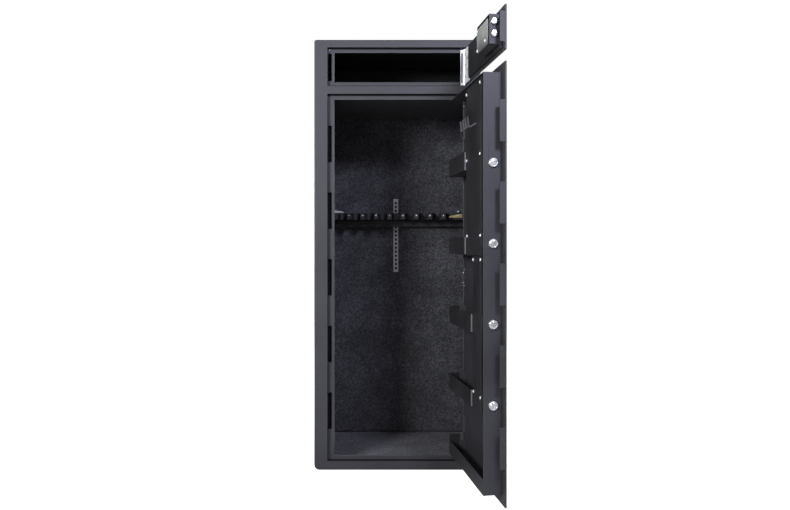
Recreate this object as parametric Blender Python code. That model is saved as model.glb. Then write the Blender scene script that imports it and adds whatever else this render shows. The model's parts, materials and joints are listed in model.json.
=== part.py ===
"""A two-compartment gun safe with both doors standing open.

Metres, +Z up. The origin is on the floor under the middle of the body, +X is to the
right of someone facing the doors, and +Y is towards the back of the safe.

A point on a door is given as (s, t, z): s runs from the hinge pin towards the lock
edge, t from the door's outer face into the safe, z up from the floor. Doors are
modelled shut, under an empty on the hinge line that turns them open.
"""

import math

import bmesh
import bpy
from mathutils import Vector

# Body
WIDTH = 0.580
DEPTH = 0.450
HEIGHT = 1.500
SHEET = 0.003
FRAME_THICK = 0.006
TOP_RADIUS = 0.008
BOTTOM_RADIUS = 0.018
FRAME_EDGE_RADIUS = 0.005
GAP = 0.0003
FRONT = -DEPTH / 2
BACK = DEPTH / 2

# Door openings, as (lowest z, highest z)
OPENING_HALF = 0.244
MAIN_OPENING = (0.031, 1.311)
UPPER_OPENING = (1.338, 1.473)
STOP_DEPTH = 0.014
STOP_THICK = 0.0025
LOCK_STOP_EDGE = -0.2215
HINGE_STOP_EDGE = 0.2314
MAIN_STOP_HEIGHT = 0.017
UPPER_STOP_HEIGHT = 0.015
SLOT_EDGE = -0.2300
SLOT_HEIGHT = 0.128
UPPER_SLOT_HEIGHT = 0.096

# Doors
OPEN_ANGLE = math.radians(98.3)
PIVOT_X = 0.2345
PIVOT_T = 0.0065
PLATE = 0.005
HINGE_EDGE_S = -0.005
LOCK_EDGE_S = 0.4765
DOOR_GAP = 0.003
MIDDLE_Z = (MAIN_OPENING[0] + MAIN_OPENING[1]) / 2
UPPER_MIDDLE_Z = 1.4065
TAB_PITCH = 0.2335
TAB_HEIGHT = 0.120
UPPER_TAB_HEIGHT = 0.087
TAB_REACH = 0.020
TAB_THICK = 0.004

# Boltwork box on the main door
WALL_S = 0.4465
BOX_SHEET = 0.002
BOX_DEPTH = 0.061
BOX_Z = (0.062, 1.282)
BOX_START_S = 0.022
COVER_T = 0.054
COVER_END_S = 0.400
BOLT_T = 0.031
BOLT_RADIUS = 0.0140
BOLT_PROUD = 0.007
BAR_S = (0.3905, 0.3995)
PINION_RADIUS = 0.014
SPINDLE_S = 0.320
SPINDLE_Z = 0.900
KEY_Z = 1.030

# Upper lock
UPPER_BOLT_T = 0.0278
UPPER_BOLT_RADIUS = 0.0103
UPPER_BOLT_Z = (1.3925, 1.4285)
UPPER_CASE_S = 0.310
UPPER_CASE_Z = (1.363, 1.4495)
UPPER_CASE_T = (0.0123, 0.043)
UPPER_PINION_RADIUS = 0.0125
UPPER_KEY_S = 0.345
UPPER_KEY_Z = 1.3925

# Inside
LINING = 0.005
FLOOR_TOP = 0.0235
CEILING_Z = 1.3005
SHELF_Z = 1.3215
RACK_Z = 0.884
RACK_THICK = 0.028
FINGER_PITCH = 0.0532
FIRST_NOTCH_X = -0.2163
NOTCHES = 9
STANDARD_X = -0.005

# Hinges
KNUCKLE_RADIUS = 0.005
BORE_RADIUS = 0.0030
PIN_RADIUS = 0.0027
HINGE_HEIGHT = 0.057
HINGE_RISE = 0.510


def clear_scene():
    for obj in list(bpy.data.objects):
        bpy.data.objects.remove(obj, do_unlink=True)


def finish(name, colour, roughness, metallic):
    """A material with the piece's plain colour."""
    material = bpy.data.materials.new(name)
    material.use_nodes = True
    shader = material.node_tree.nodes["Principled BSDF"]
    shader.inputs["Base Color"].default_value = (*colour, 1)
    shader.inputs["Roughness"].default_value = roughness
    shader.inputs["Metallic"].default_value = metallic
    return material


def add_prism(mesh, outline, low, high, axis):
    """Adds a closed prism. The outline is in the plane across axis, in X, Y, Z order."""
    places = {
        "X": lambda u, v, w: (w, u, v),
        "Y": lambda u, v, w: (u, w, v),
        "Z": lambda u, v, w: (u, v, w),
    }
    place = places[axis]
    near = [mesh.verts.new(place(u, v, low)) for u, v in outline]
    far = [mesh.verts.new(place(u, v, high)) for u, v in outline]
    faces = [mesh.faces.new(near), mesh.faces.new(far)]
    for i in range(len(outline)):
        j = (i + 1) % len(outline)
        faces.append(mesh.faces.new((near[i], near[j], far[j], far[i])))
    bmesh.ops.recalc_face_normals(mesh, faces=faces)


def add_box(mesh, low, high):
    (x0, y0, z0), (x1, y1, z1) = low, high
    x0, x1 = sorted((x0, x1))
    y0, y1 = sorted((y0, y1))
    z0, z1 = sorted((z0, z1))
    add_prism(mesh, [(x0, y0), (x1, y0), (x1, y1), (x0, y1)], z0, z1, "Z")


def circle(centre, radius, sides, start=0.0):
    turns = [start + 2 * math.pi * i / sides for i in range(sides)]
    return [(centre[0] + radius * math.cos(a), centre[1] + radius * math.sin(a)) for a in turns]


def add_rod(mesh, centre, radius, low, high, axis, sides=24, chamfer=0.0):
    """Adds a round rod. Its high end is chamfered when chamfer is given."""
    add_stack(mesh, centre, [(low, radius), (high - chamfer, radius)]
              + ([(high, radius - chamfer)] if chamfer else []), axis, sides)


def add_stack(mesh, centre, rings, axis, sides=24):
    """Adds a turned solid through rings of (place along axis, radius)."""
    places = {
        "X": lambda u, v, w: (w, u, v),
        "Y": lambda u, v, w: (u, w, v),
        "Z": lambda u, v, w: (u, v, w),
    }
    loops = []
    for along, radius in rings:
        loops.append([mesh.verts.new(places[axis](u, v, along)) for u, v in circle(centre, radius, sides)])
    faces = [mesh.faces.new(loops[0]), mesh.faces.new(loops[-1])]
    for one, two in zip(loops, loops[1:]):
        for i in range(sides):
            j = (i + 1) % sides
            faces.append(mesh.faces.new((one[i], one[j], two[j], two[i])))
    bmesh.ops.recalc_face_normals(mesh, faces=faces)


def put(name, mesh, material=None, parent=None, smooth=False):
    """Turns a bmesh into an object. With no material it is a hidden cutter."""
    data = bpy.data.meshes.new(name)
    mesh.to_mesh(data)
    mesh.free()
    obj = bpy.data.objects.new(name, data)
    bpy.context.scene.collection.objects.link(obj)
    obj.parent = parent
    if material:
        data.materials.append(material)
    else:
        obj.hide_render = True
        obj.display_type = "WIRE"
    if smooth:
        data.shade_smooth()
        data.set_sharp_from_angle(angle=math.radians(35))
    return obj


def join_to(obj, other, operation="UNION"):
    """Adds a Boolean of obj with a hidden helper."""
    step = obj.modifiers.new(other.name, "BOOLEAN")
    step.operation = operation
    step.object = other
    step.solver = "EXACT"


def box_node(name, low, high, material, parent=None):
    mesh = bmesh.new()
    add_box(mesh, low, high)
    return put(name, mesh, material, parent)


def rounded_loop(half_width, low, high, top_radius, bottom_radius, steps=6):
    """A closed outline with round corners, anticlockwise from the lower right corner."""
    corners = [
        (half_width, low, bottom_radius, -90),
        (half_width, high, top_radius, 0),
        (-half_width, high, top_radius, 90),
        (-half_width, low, bottom_radius, 180),
    ]
    points = []
    for x, z, radius, start in corners:
        cx = x - math.copysign(radius, x)
        cz = z + radius if z == low else z - radius
        for i in range(steps + 1):
            a = math.radians(start + 90 * i / steps)
            points.append((cx + radius * math.cos(a), cz + radius * math.sin(a)))
    return points


def add_loft(mesh, loops):
    """Adds a closed solid through loops of 3-D points, capped at both ends."""
    rings = [[mesh.verts.new(p) for p in loop] for loop in loops]
    count = len(rings[0])
    faces = [mesh.faces.new(rings[0]), mesh.faces.new(rings[-1])]
    for one, two in zip(rings, rings[1:]):
        for i in range(count):
            j = (i + 1) % count
            faces.append(mesh.faces.new((one[i], one[j], two[j], two[i])))
    bmesh.ops.recalc_face_normals(mesh, faces=faces)


def body_loop(inset):
    """The body's outline in X and Z, drawn in by inset."""
    return rounded_loop(
        WIDTH / 2 - inset,
        inset,
        HEIGHT - inset,
        max(TOP_RADIUS - inset, 0.002),
        max(BOTTOM_RADIUS - inset, 0.002),
    )


# Body pieces


def make_body_wrap(steel):
    """The sides, top and base: one sheet bent round into a tube."""
    mesh = bmesh.new()
    low, high = FRONT + FRAME_THICK + GAP, BACK - SHEET - GAP
    outer, inner = body_loop(0), body_loop(SHEET)
    rings = []
    for loop, y in ((outer, low), (outer, high), (inner, high), (inner, low)):
        rings.append([mesh.verts.new((x, y, z)) for x, z in loop])
    count = len(outer)
    faces = []
    for k, one in enumerate(rings):
        two = rings[(k + 1) % 4]
        for i in range(count):
            j = (i + 1) % count
            faces.append(mesh.faces.new((one[i], one[j], two[j], two[i])))
    bmesh.ops.recalc_face_normals(mesh, faces=faces)
    put("body_wrap", mesh, steel, smooth=True)


def make_back_panel(steel):
    mesh = bmesh.new()
    add_prism(mesh, body_loop(0), BACK - SHEET, BACK, "Y")
    put("back_panel", mesh, steel)


def make_front_frame(steel):
    """The face round both doors, with a rounded outer edge."""
    mesh = bmesh.new()
    loops = []
    steps = 4
    for i in range(steps + 1):
        a = math.pi / 2 * i / steps
        inset = FRAME_EDGE_RADIUS * (1 - math.sin(a))
        y = FRONT + FRAME_EDGE_RADIUS * (1 - math.cos(a))
        loops.append([(x, y, z) for x, z in body_loop(inset)])
    loops.append([(x, FRONT + FRAME_THICK, z) for x, z in body_loop(0)])
    add_loft(mesh, loops)
    frame = put("front_frame", mesh, steel, smooth=True)
    holes = bmesh.new()
    for low, high in (MAIN_OPENING, UPPER_OPENING):
        add_box(
            holes,
            (-OPENING_HALF, FRONT - FRAME_THICK, low),
            (OPENING_HALF, FRONT + 2 * FRAME_THICK, high),
        )
    join_to(frame, put("front_frame_cutter", holes), "DIFFERENCE")


def make_stop_frame(name, opening, stop_height, slots, steel):
    """The return and the strip that the door closes against, with slots for its tabs."""
    low, high = opening
    start, end = FRONT + FRAME_THICK + GAP, FRONT + STOP_DEPTH + STOP_THICK
    mesh = bmesh.new()
    add_box(
        mesh,
        (-OPENING_HALF - SHEET, start, low - SHEET),
        (OPENING_HALF + SHEET, end, high + SHEET),
    )
    ring = put(name, mesh, steel)
    holes = bmesh.new()
    add_box(
        holes,
        (-OPENING_HALF, FRONT, low),
        (OPENING_HALF, FRONT + STOP_DEPTH, high),
    )
    recess = put(name + "_recess_cutter", holes)
    join_to(ring, recess, "DIFFERENCE")
    window = bmesh.new()
    add_box(
        window,
        (LOCK_STOP_EDGE, FRONT, low + stop_height),
        (HINGE_STOP_EDGE, FRONT + 2 * STOP_DEPTH, high - stop_height),
    )
    for middle, tall in slots:
        add_box(
            window,
            (-OPENING_HALF + 0.0005, FRONT + STOP_DEPTH / 2, middle - tall / 2),
            (SLOT_EDGE, FRONT + 2 * STOP_DEPTH, middle + tall / 2),
        )
    join_to(ring, put(name + "_window_cutter", window), "DIFFERENCE")


def tab_heights():
    return [MIDDLE_Z + TAB_PITCH * (2 - i) for i in range(5)]


def bolt_heights():
    return [MIDDLE_Z + TAB_PITCH * (1.5 - i) for i in range(4)]


def make_inside(steel, board, carpet):
    """The compartment shelf, boards and carpet-covered linings."""
    wall = WIDTH / 2 - SHEET - 0.0005
    start = FRONT + STOP_DEPTH + STOP_THICK + 0.0005
    back_face = BACK - SHEET - GAP - 0.0002
    box_node(
        "divider_shelf",
        (-wall, start, SHELF_Z),
        (wall, back_face, SHELF_Z + SHEET),
        steel,
    )
    board_top = 0.020
    box_node(
        "floor_board",
        (-wall + 0.016, start, SHEET + GAP),
        (wall - 0.016, back_face, board_top),
        board,
    )
    lining_top = SHELF_Z - 0.0005
    side_back = back_face - 0.0069
    box_node(
        "back_carpet",
        (-wall, side_back + GAP, board_top + GAP),
        (wall, back_face, lining_top),
        carpet,
    )
    for name, side in (("left_carpet", -1), ("right_carpet", 1)):
        box_node(
            name,
            (side * wall, start, board_top + GAP),
            (side * (wall - LINING), side_back, lining_top),
            carpet,
        )
    inner = wall - LINING - GAP
    box_node(
        "floor_carpet",
        (-inner, start, board_top + GAP),
        (inner, side_back, FLOOR_TOP),
        carpet,
    )
    box_node(
        "ceiling_board",
        (-inner, start, CEILING_Z),
        (inner, side_back, lining_top),
        carpet,
    )


def make_barrel_rack(steel, plastic):
    """A notched rest for the barrels, on a rail that hangs on a punched strip."""
    back_face = BACK - SHEET - GAP - 0.0002 - 0.0069
    strip_low, strip_high, strip_half = 0.675, 0.973, 0.010
    strip_face = back_face - 0.003
    mesh = bmesh.new()
    add_box(
        mesh,
        (STANDARD_X - strip_half, strip_face, strip_low),
        (STANDARD_X + strip_half, back_face - GAP, strip_high),
    )
    strip = put("rack_standard", mesh, steel["zinc"])
    holes = bmesh.new()
    pitch, hole_half, hole_tall = 0.0166, 0.0045, 0.0100
    count = 17
    first = (strip_low + strip_high) / 2 - pitch * (count - 1) / 2
    for i in range(count):
        middle = first + pitch * i
        add_box(
            holes,
            (STANDARD_X - hole_half, strip_face - 0.002, middle - hole_tall / 2),
            (STANDARD_X + hole_half, back_face + 0.002, middle + hole_tall / 2),
        )
    join_to(strip, put("rack_standard_cutter", holes), "DIFFERENCE")

    rack_back = strip_face - GAP
    rack_front = rack_back - 0.108
    left, right = -0.262, 0.270
    notch_half, notch_depth = 0.0165, 0.046
    outline = [(left, rack_back), (left, rack_front)]
    for i in range(NOTCHES):
        x = FIRST_NOTCH_X + FINGER_PITCH * i
        centre_y = rack_front + notch_depth - notch_half
        outline.append((x - notch_half, rack_front))
        for k in range(9):
            a = math.pi - math.pi * k / 8
            outline.append((x + notch_half * math.cos(a), centre_y + notch_half * math.sin(a)))
        outline.append((x + notch_half, rack_front))
    outline += [(right, rack_front), (right, rack_back)]
    mesh = bmesh.new()
    add_prism(mesh, outline, RACK_Z, RACK_Z + RACK_THICK, "Z")
    put("barrel_rack", mesh, plastic)
    box_node(
        "rack_rail",
        (left + 0.004, rack_back - 0.028, RACK_Z - GAP - 0.024),
        (right - 0.004, rack_back, RACK_Z - GAP),
        steel["dark"],
    )


# Hinges


def hinge_parts(prefix, low, high, body_spans, door_spans, leaf_s, materials, pivot):
    """One hinge. The spans are the stretches of z that carry each side's knuckles."""
    zinc, pin_steel = materials
    px, py = PIVOT_X, FRONT + PIVOT_T
    leaf_low, leaf_high = 0.0053, 0.0072
    body = bmesh.new()
    add_box(
        body,
        (px - 0.013, py + leaf_low, low),
        (px + 0.0085, py + leaf_high, high),
    )
    body = put(prefix + "_body_leaf", body, zinc, smooth=True)
    for i, (z0, z1) in enumerate(body_spans):
        neck = bmesh.new()
        add_box(neck, (px - 0.0025, py + 0.0015, z0 + 0.0002), (px + 0.0025, py + 0.0061, z1 - 0.0002))
        join_to(body, put(f"{prefix}_body_neck_{i}", neck))
        knuckle = bmesh.new()
        add_rod(knuckle, (px, py), KNUCKLE_RADIUS, z0, z1, "Z", 20)
        join_to(body, put(f"{prefix}_body_knuckle_{i}", knuckle))
    cut = bmesh.new()
    add_rod(cut, (px, py), BORE_RADIUS, low - 0.01, high + 0.01, "Z", 20)
    window = 0.009
    add_box(
        cut,
        (px - 0.0112, py + leaf_low - 0.001, low + window),
        (px - 0.0062, py + leaf_high + 0.001, high - window),
    )
    join_to(body, put(prefix + "_body_cutter", cut), "DIFFERENCE")

    door = bmesh.new()
    t0, t1 = PLATE + GAP - PIVOT_T, PLATE + GAP - PIVOT_T + 0.002
    add_box(door, (-0.0056, t0, low + 0.001), (-leaf_s, t1, high - 0.001))
    door = put(prefix + "_door_leaf", door, zinc, pivot, smooth=True)
    for i, (z0, z1) in enumerate(door_spans):
        neck = bmesh.new()
        add_box(neck, (-0.0062, t0 + 0.0002, z0 + 0.0013), (-0.0015, t1 - 0.0002, z1 - 0.0013))
        join_to(door, put(f"{prefix}_door_neck_{i}", neck, parent=pivot))
        knuckle = bmesh.new()
        add_rod(knuckle, (0, 0), KNUCKLE_RADIUS, z0, z1, "Z", 20)
        join_to(door, put(f"{prefix}_door_knuckle_{i}", knuckle, parent=pivot))
    cut = bmesh.new()
    add_rod(cut, (0, 0), BORE_RADIUS, low - 0.01, high + 0.01, "Z", 20)
    join_to(door, put(prefix + "_door_cutter", cut, parent=pivot), "DIFFERENCE")

    pin = bmesh.new()
    head = 0.0042
    rings = [(low - 0.0022, head), (low - 0.0004, head), (low - 0.0004, PIN_RADIUS), (high + 0.002, PIN_RADIUS)]
    add_stack(pin, (px, py), rings, "Z", 20)
    put(prefix + "_pin", pin, pin_steel, smooth=True)


def make_main_hinges(pivot, materials):
    for name, middle in (
        ("main_hinge_top", MIDDLE_Z + HINGE_RISE),
        ("main_hinge_middle", MIDDLE_Z),
        ("main_hinge_bottom", MIDDLE_Z - HINGE_RISE),
    ):
        low, high = middle - HINGE_HEIGHT / 2, middle + HINGE_HEIGHT / 2
        split = 0.0003
        hinge_parts(
            name,
            low,
            high,
            [(low, middle - split)],
            [(middle + split, high)],
            0.045,
            materials,
            pivot,
        )


def make_upper_hinge(pivot, materials):
    low, high = UPPER_OPENING[0] + 0.005, UPPER_OPENING[1] - 0.007
    third = (high - low) / 3
    split = 0.0003
    hinge_parts(
        "upper_hinge",
        low,
        high,
        [(low, low + third - split), (high - third + split, high)],
        [(low + third + split, high - third - split)],
        0.070,
        materials,
        pivot,
    )


# Door pieces, in the door's own place: x = -s, y = t - PIVOT_T


def door_box(mesh, s_range, t_range, z_range):
    add_box(
        mesh,
        (-s_range[1], t_range[0] - PIVOT_T, z_range[0]),
        (-s_range[0], t_range[1] - PIVOT_T, z_range[1]),
    )


def door_node(name, s_range, t_range, z_range, material, pivot):
    mesh = bmesh.new()
    door_box(mesh, s_range, t_range, z_range)
    return put(name, mesh, material, pivot)


def make_door_plate(name, z_range, start_s, tabs, tab_height, notches, holes, steel, pivot):
    """The outer plate. Its lock edge carries tabs bent back to catch behind the stop strip."""
    low, high = z_range
    outline = [(-LOCK_EDGE_S, low), (-start_s, low)]
    for z0, z1 in notches:
        outline += [(-start_s, z0), (-0.0058, z0), (-0.0058, z1), (-start_s, z1)]
    outline += [(-start_s, high), (-LOCK_EDGE_S, high)]
    mesh = bmesh.new()
    add_prism(mesh, outline, -PIVOT_T, PLATE - PIVOT_T, "Y")
    plate = put(name, mesh, steel, pivot)
    extra = bmesh.new()
    for middle in tabs:
        door_box(
            extra,
            (LOCK_EDGE_S - 0.0003 - TAB_THICK, LOCK_EDGE_S - 0.0003),
            (PLATE - 0.0015, TAB_REACH),
            (middle - tab_height / 2, middle + tab_height / 2),
        )
    join_to(plate, put(name + "_tabs", extra, parent=pivot))
    cut = bmesh.new()
    for s, z, radius in holes:
        add_rod(cut, (-s, z), radius, -PIVOT_T - 0.01, PLATE - PIVOT_T + 0.01, "Y", 24)
    join_to(plate, put(name + "_cutter", cut, parent=pivot), "DIFFERENCE")


def make_door_pan(pivot, steel):
    """The lock wall with the top and bottom walls: one strip bent into a C."""
    low, high = BOX_Z
    start = BOX_START_S
    inner = WALL_S - BOX_SHEET
    outline = [
        (-start, low),
        (-start, low + BOX_SHEET),
        (-inner, low + BOX_SHEET),
        (-inner, high - BOX_SHEET),
        (-start, high - BOX_SHEET),
        (-start, high),
        (-WALL_S, high),
        (-WALL_S, low),
    ]
    mesh = bmesh.new()
    add_prism(mesh, outline, PLATE + GAP - PIVOT_T, BOX_DEPTH - PIVOT_T, "Y")
    pan = put("door_pan", mesh, steel, pivot)
    cut = bmesh.new()
    for z in bolt_heights():
        add_rod(
            cut,
            (BOLT_T - PIVOT_T, z),
            BOLT_RADIUS + 0.0006,
            -WALL_S - 0.01,
            -inner + 0.01,
            "X",
            28,
        )
    join_to(pan, put("door_pan_cutter", cut, parent=pivot), "DIFFERENCE")


def make_cover(name, s_range, z_range, pivot, steel):
    """A folded cover over the boltwork: a face and two side walls."""
    s0, s1 = s_range
    wall = 0.0015
    t_low, t_high = PLATE + 0.001 - PIVOT_T, COVER_T - PIVOT_T
    lip = 0.008
    outline = [
        (-s0, t_low),
        (-s0, t_high),
        (-s1, t_high),
        (-s1, t_high - lip),
        (-s1 + wall, t_high - lip),
        (-s1 + wall, t_high - wall),
        (-s0 - wall, t_high - wall),
        (-s0 - wall, t_low),
    ]
    mesh = bmesh.new()
    add_prism(mesh, outline, z_range[0], z_range[1], "Z")
    put(name, mesh, steel, pivot)


def make_tray(name, z_range, end_s, end_plate_top, pivot, steel):
    """A document tray: an open-topped shelf with a lip and closed ends."""
    low, high = z_range
    wall = 0.0015
    back, front = PLATE + GAP, BOX_DEPTH
    corner_s, corner_t = 0.020, 0.024
    outline = [
        (-corner_s, back - PIVOT_T),
        (-end_s, back - PIVOT_T),
        (-end_s, front - PIVOT_T),
        (0, front - PIVOT_T),
        (0, corner_t - PIVOT_T),
    ]
    mesh = bmesh.new()
    add_prism(mesh, outline, low, end_plate_top, "Z")
    tray = put(name, mesh, steel, pivot)
    cut = bmesh.new()
    inner = [
        (-corner_s - wall, back - PIVOT_T - 0.004),
        (-end_s + wall, back - PIVOT_T - 0.004),
        (-end_s + wall, front - wall - PIVOT_T),
        (-wall, front - wall - PIVOT_T),
        (-wall, corner_t - PIVOT_T + 0.0007),
        (-corner_s - wall, back - PIVOT_T + 0.0007),
    ]
    add_prism(cut, inner, low + wall, end_plate_top + 0.01, "Z")
    join_to(tray, put(name + "_cutter", cut, parent=pivot), "DIFFERENCE")
    if end_plate_top > high:
        trim = bmesh.new()
        door_box(trim, (wall, end_s + 0.01), (0, front + 0.01), (high, end_plate_top + 0.01))
        join_to(tray, put(name + "_trim", trim, parent=pivot), "DIFFERENCE")


def make_trays(pivot, steel):
    for number, (low, high, end_s) in enumerate(
        (
            (1.021, 1.080, 0.218),
            (0.754, 0.809, 0.218),
            (0.516, 0.573, 0.300),
            (0.288, 0.340, 0.300),
        ),
        1,
    ):
        make_tray(f"door_tray_{number}", (low, high), end_s, high, pivot, steel)
    bottom = BOX_Z[0] + BOX_SHEET + GAP
    make_tray("door_tray_5", (bottom, 0.108), WALL_S - BOX_SHEET - GAP, 0.127, pivot, steel)


def gear_outline(centre, pitch_radius, teeth, reach, root, phase):
    """Teeth with straight flanks, thinner than their gaps so that they run free."""
    step = 2 * math.pi / teeth
    half = 0.34 * step / 2
    points = []
    for i in range(teeth):
        middle = phase + step * i
        for radius, width in (
            (pitch_radius - root, 1.35 * half),
            (pitch_radius + reach, 0.55 * half),
        ):
            points.append((radius, middle - width))
        for radius, width in (
            (pitch_radius + reach, 0.55 * half),
            (pitch_radius - root, 1.35 * half),
        ):
            points.append((radius, middle + width))
    return [(centre[0] + r * math.cos(a), centre[1] + r * math.sin(a)) for r, a in points]


def rack_outline(x_low, x_high, z_pitch, z_top, centre_x, step, reach, root):
    """A toothed bar with its teeth pointing down, a gap standing over centre_x."""
    half = 0.34 * step / 2
    points = [(x_high, z_top), (x_low, z_top), (x_low, z_pitch + root)]
    first = math.ceil((x_low + half * 1.35 - centre_x) / step - 0.5)
    x = centre_x + (first + 0.5) * step
    while x + 1.35 * half < x_high:
        points += [
            (x - 1.35 * half, z_pitch + root),
            (x - 0.55 * half, z_pitch - reach),
            (x + 0.55 * half, z_pitch - reach),
            (x + 1.35 * half, z_pitch + root),
        ]
        x += step
    points.append((x_high, z_pitch + root))
    return points


def make_boltwork(door_pivot, steel):
    """Four round bolts on one bar, driven by the handle's pinion through a rack."""
    empty = bpy.data.objects.new("main_bolts_slide", None)
    bpy.context.scene.collection.objects.link(empty)
    empty.parent = door_pivot
    for number, z in enumerate(bolt_heights(), 1):
        mesh = bmesh.new()
        rings = [
            (-WALL_S - BOLT_PROUD, BOLT_RADIUS - 0.0012),
            (-WALL_S - BOLT_PROUD + 0.0012, BOLT_RADIUS),
            (-BAR_S[1] - GAP, BOLT_RADIUS),
        ]
        add_stack(mesh, (BOLT_T - PIVOT_T, z), rings, "X", 28)
        put(f"locking_bolt_{number}", mesh, steel["chrome"], empty, smooth=True)
    low, high = bolt_heights()[-1] - 0.030, bolt_heights()[0] + 0.030
    mesh = bmesh.new()
    door_box(mesh, BAR_S, (BOLT_T - 0.010, BOLT_T + 0.010), (low, high))
    bar = put("bolt_bar", mesh, steel["zinc"], empty)
    step = 2 * math.pi * PINION_RADIUS / 10
    rack = bmesh.new()
    outline = rack_outline(
        -BAR_S[0] - 0.002,
        -0.297,
        SPINDLE_Z + PINION_RADIUS,
        SPINDLE_Z + PINION_RADIUS + 0.009,
        -SPINDLE_S,
        step,
        0.0020,
        0.0030,
    )
    add_prism(rack, outline, BOLT_T - 0.008 - PIVOT_T, BOLT_T - 0.001 - PIVOT_T, "Y")
    join_to(bar, put("bolt_bar_rack", rack, parent=empty))
    door_node(
        "bar_guide",
        (0.366, 0.428),
        (PLATE + GAP, BOLT_T - 0.0105),
        (MIDDLE_Z - 0.030, MIDDLE_Z + 0.030),
        steel["zinc"],
        door_pivot,
    )


def make_handle(door_pivot, steel):
    """The outside lever, its spindle through the plate, and the pinion behind it."""
    hub = bpy.data.objects.new("handle_axis", None)
    bpy.context.scene.collection.objects.link(hub)
    hub.parent = door_pivot
    hub.location = Vector((-SPINDLE_S, 0, SPINDLE_Z))
    outer = -PIVOT_T
    mesh = bmesh.new()
    rings = [
        (outer - 0.040, 0.012),
        (outer - 0.038, 0.015),
        (outer - 0.022, 0.016),
        (outer - 0.0045, 0.021),
    ]
    add_stack(mesh, (0, 0), rings, "Y", 28)
    lever = put("handle_lever", mesh, steel["chrome"], hub, smooth=True)
    arm = bmesh.new()
    length, half = 0.118, 0.0085
    outline = [(half * math.cos(a), half * math.sin(a)) for a in [math.pi * i / 8 for i in range(9)]]
    outline += [
        (-half * math.cos(a), -length - half * math.sin(a)) for a in [math.pi * i / 8 for i in range(9)]
    ]
    add_prism(arm, outline, outer - 0.0365, outer - 0.0250, "Y")
    join_to(lever, put("handle_arm", arm, parent=hub))
    mesh = bmesh.new()
    tip = BOLT_T - 0.0085 - PIVOT_T
    rings = [(outer - 0.0042, 0.0058), (tip, 0.0058)]
    add_stack(mesh, (0, 0), rings, "Y", 24)
    put("handle_spindle", mesh, steel["zinc"], hub, smooth=True)
    mesh = bmesh.new()
    outline = gear_outline((0, 0), PINION_RADIUS, 10, 0.0020, 0.0030, math.pi / 2)
    add_prism(mesh, outline, BOLT_T - 0.008 - PIVOT_T, BOLT_T - 0.001 - PIVOT_T, "Y")
    put("drive_pinion", mesh, steel["zinc"], hub)
    ring = bmesh.new()
    add_stack(ring, (-SPINDLE_S, SPINDLE_Z), [(outer - 0.0040, 0.026), (outer - GAP, 0.028)], "Y", 32)
    plate = put("handle_escutcheon", ring, steel["chrome"], door_pivot, smooth=True)
    bore = bmesh.new()
    add_rod(bore, (-SPINDLE_S, SPINDLE_Z), 0.0065, outer - 0.01, outer + 0.01, "Y", 24)
    join_to(plate, put("handle_escutcheon_cutter", bore, parent=door_pivot), "DIFFERENCE")


def make_key_lock(name, place, radius, reach, parent, steel):
    """A round plug with a key slot, turning about its own middle."""
    s, z = place
    axis = bpy.data.objects.new(name + "_axis", None)
    bpy.context.scene.collection.objects.link(axis)
    axis.parent = parent
    axis.location = Vector((-s, 0, z))
    mesh = bmesh.new()
    outer = -PIVOT_T
    rings = [(outer - 0.0062, radius - 0.001), (outer - 0.0052, radius), (outer + reach, radius)]
    add_stack(mesh, (0, 0), rings, "Y", 24)
    plug = put(name + "_plug", mesh, steel["chrome"], axis, smooth=True)
    slot = bmesh.new()
    add_box(slot, (-0.0011, outer - 0.010, -0.005), (0.0011, outer + 0.001, 0.005))
    join_to(plug, put(name + "_slot", slot, parent=axis), "DIFFERENCE")
    ring = bmesh.new()
    add_stack(ring, (-s, z), [(outer - 0.0042, radius + 0.007), (outer - GAP, radius + 0.009)], "Y", 28)
    rosette = put(name + "_rosette", ring, steel["chrome"], parent, smooth=True)
    bore = bmesh.new()
    add_rod(bore, (-s, z), radius + 0.0007, outer - 0.01, outer + 0.01, "Y", 24)
    join_to(rosette, put(name + "_rosette_cutter", bore, parent=parent), "DIFFERENCE")
    return axis


def make_main_door(pivot, steel):
    low, high = MAIN_OPENING[0] + DOOR_GAP, MAIN_OPENING[1] - DOOR_GAP
    middles = [MIDDLE_Z - HINGE_RISE, MIDDLE_Z, MIDDLE_Z + HINGE_RISE]
    notch = HINGE_HEIGHT / 2 + 0.004
    make_door_plate(
        "main_door_plate",
        (low, high),
        HINGE_EDGE_S,
        tab_heights(),
        TAB_HEIGHT,
        [(z - notch, z + notch) for z in middles],
        [(SPINDLE_S, SPINDLE_Z, 0.0065), (SPINDLE_S, KEY_Z, 0.0087)],
        steel["paint"],
        pivot,
    )
    make_door_pan(pivot, steel["paint"])
    make_cover(
        "boltwork_cover_upper",
        (0.2185, COVER_END_S),
        (0.752, BOX_Z[1] - BOX_SHEET - 0.001),
        pivot,
        steel["cover"],
    )
    make_cover("boltwork_cover_lower", (0.3005, COVER_END_S), (0.290, 0.7505), pivot, steel["cover"])
    make_trays(pivot, steel["cover"])
    make_boltwork(pivot, steel)
    make_handle(pivot, steel)
    make_key_lock("main_key", (SPINDLE_S, KEY_Z), 0.008, PLATE - 0.0005, pivot, steel)
    door_node(
        "main_lock_case",
        (SPINDLE_S - 0.035, SPINDLE_S + 0.035),
        (PLATE + GAP, 0.036),
        (KEY_Z - 0.045, KEY_Z + 0.045),
        steel["zinc"],
        pivot,
    )


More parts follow.
